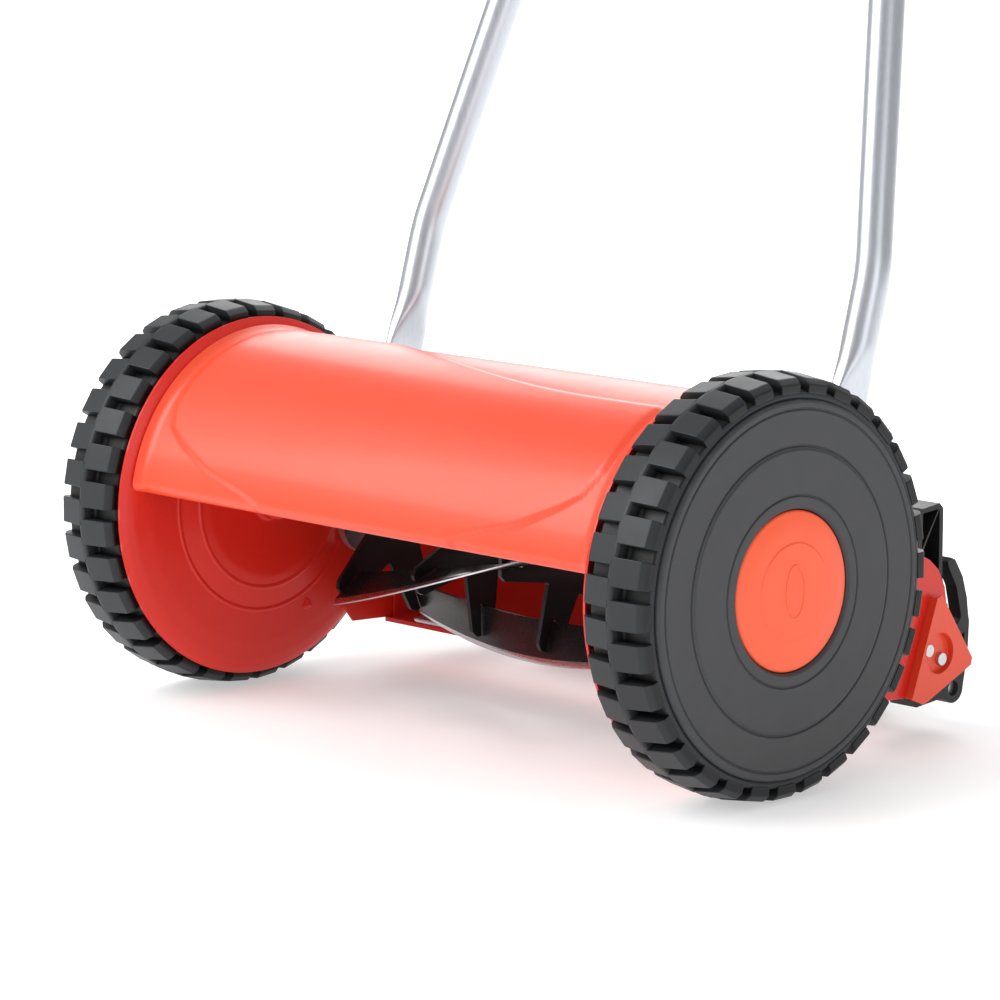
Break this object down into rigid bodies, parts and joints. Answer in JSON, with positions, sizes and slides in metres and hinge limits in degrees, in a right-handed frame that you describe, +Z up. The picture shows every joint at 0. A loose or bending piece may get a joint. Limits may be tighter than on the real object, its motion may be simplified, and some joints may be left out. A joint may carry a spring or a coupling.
{
  "type": "reel mower",
  "caption": "Push reel mower: two geared wheels turn a helical blade reel against a bedknife, with rear roller and swinging tube handle.",
  "frame": {"origin": "on the ground, at the middle of the whole mower from side to side and from front to back, with the handle as stored", "axes": "+Z up; X along the wheel axle with the right wheel at +X; +Y towards the handle, so the mower drives towards -Y"},
  "size_m": [0.4496, 0.5046, 1.1727],
  "materials": {
    "red_paint": "gloss powder coat",
    "red_plastic": "semi-gloss moulded",
    "grey_plastic": "fine satin moulded",
    "tyre_rubber": "satin",
    "black_plastic": "fine satin moulded",
    "black_paint": "satin",
    "ground_steel": "ground edge",
    "zinc_steel": "zinc plated",
    "handle_silver": "silver lacquer on steel tube",
    "foam": "closed-cell foam"
  },
  "bodies": {
    "frame": {"axle_rod": "zinc_steel", "axle_washers": "zinc_steel", "axle_clips": "zinc_steel", "right_side_plate": "red_paint", "left_side_plate": "red_paint", "cross_tube": "red_paint", "deck": "red_paint", "right_reel_bearing": "black_plastic", "left_reel_bearing": "black_plastic", "bedknife": "ground_steel", "bedknife_carrier": "red_paint", "bedknife_screws": "zinc_steel", "carrier_screws": "zinc_steel", "right_corner_bracket": "red_paint", "left_corner_bracket": "red_paint", "height_screws": "zinc_steel", "handle_pivot_bolts": "zinc_steel"},
    "right_wheel": {"right_tyre": "tyre_rubber", "right_wheel": "grey_plastic", "right_hub_cap": "red_plastic", "right_wheel_bush": "black_plastic"},
    "left_wheel": {"left_tyre": "tyre_rubber", "left_wheel": "grey_plastic", "left_hub_cap": "red_plastic", "left_wheel_bush": "black_plastic"},
    "reel": {"reel_shaft": "zinc_steel", "reel_disc_1": "black_paint", "reel_disc_2": "black_paint", "reel_disc_3": "black_paint", "reel_disc_4": "black_paint", "reel_disc_5": "black_paint", "reel_blade_1": "black_paint", "reel_blade_2": "black_paint", "reel_blade_3": "black_paint", "reel_blade_4": "black_paint", "reel_blade_5": "black_paint", "reel_rivets": "zinc_steel", "pinion_clips": "zinc_steel"},
    "right_pinion": {"right_pinion": "zinc_steel"},
    "left_pinion": {"left_pinion": "zinc_steel"},
    "right_key": {"right_drive_key": "zinc_steel"},
    "left_key": {"left_drive_key": "zinc_steel"},
    "roller_carriage": {"right_height_bracket": "black_plastic", "left_height_bracket": "black_plastic", "roller_rod": "zinc_steel", "roller_clips": "zinc_steel"},
    "roller": {"roller": "black_plastic"},
    "handle": {"right_lower_tube": "handle_silver", "left_lower_tube": "handle_silver", "tube_end_plugs": "black_plastic", "fold_bolts": "zinc_steel"},
    "upper_handle": {"upper_handle": "handle_silver", "handle_grip": "foam", "saddle_washers": "black_plastic"},
    "right_knob": {"right_wing_knob": "black_plastic"},
    "left_knob": {"left_wing_knob": "black_plastic"}
  },
  "joints": [
    {"name": "right_wheel_spin", "type": "hinge", "parent": "frame", "child": "right_wheel", "pos_m": [0, -0.14434, 0.108], "axis": [1, 0, 0], "continuous": true},
    {"name": "left_wheel_spin", "type": "hinge", "parent": "frame", "child": "left_wheel", "pos_m": [0, -0.14434, 0.108], "axis": [1, 0, 0], "continuous": true},
    {"name": "reel_spin", "type": "hinge", "parent": "frame", "child": "reel", "pos_m": [0, -0.07549, 0.08695], "axis": [1, 0, 0], "continuous": true},
    {"name": "right_pinion_spin", "type": "hinge", "parent": "frame", "child": "right_pinion", "pos_m": [0, -0.07549, 0.08695], "axis": [1, 0, 0], "continuous": true},
    {"name": "left_pinion_spin", "type": "hinge", "parent": "frame", "child": "left_pinion", "pos_m": [0, -0.07549, 0.08695], "axis": [1, 0, 0], "continuous": true},
    {"name": "right_key_slide", "type": "slide", "parent": "reel", "child": "right_key", "axis": [0, 0, 1], "range_m": [0, 0.0018]},
    {"name": "left_key_slide", "type": "slide", "parent": "reel", "child": "left_key", "axis": [0, 0, 1], "range_m": [0, 0.0018]},
    {"name": "height_adjust", "type": "slide", "parent": "frame", "child": "roller_carriage", "axis": [0, 0, 1], "range_m": [-0.01, 0.01]},
    {"name": "roller_spin", "type": "hinge", "parent": "roller_carriage", "child": "roller", "pos_m": [0, 0.04366, 0.023], "axis": [1, 0, 0], "continuous": true},
    {"name": "handle_swing", "type": "hinge", "parent": "frame", "child": "handle", "pos_m": [0, -0.05984, 0.12], "axis": [1, 0, 0], "range_deg": [-54, 20]},
    {"name": "handle_fold", "type": "hinge", "parent": "handle", "child": "upper_handle", "pos_m": [0, 0.0449, 0.48528], "axis": [1, 0, 0], "range_deg": [-115, 0]},
    {"name": "right_knob_turn", "type": "hinge", "parent": "handle", "child": "right_knob", "pos_m": [0.14651, 0.0449, 0.48528], "axis": [1, 0, 0], "range_deg": [0, 720]},
    {"name": "left_knob_turn", "type": "hinge", "parent": "handle", "child": "left_knob", "pos_m": [-0.14651, 0.0449, 0.48528], "axis": [1, 0, 0], "range_deg": [-720, 0]}
  ],
  "couplings": [
    {"joint": "reel_spin", "follows": "right_wheel_spin", "ratio": 6.1429},
    {"joint": "right_pinion_spin", "follows": "right_wheel_spin", "ratio": 6.1429},
    {"joint": "left_pinion_spin", "follows": "left_wheel_spin", "ratio": 6.1429}
  ]
}
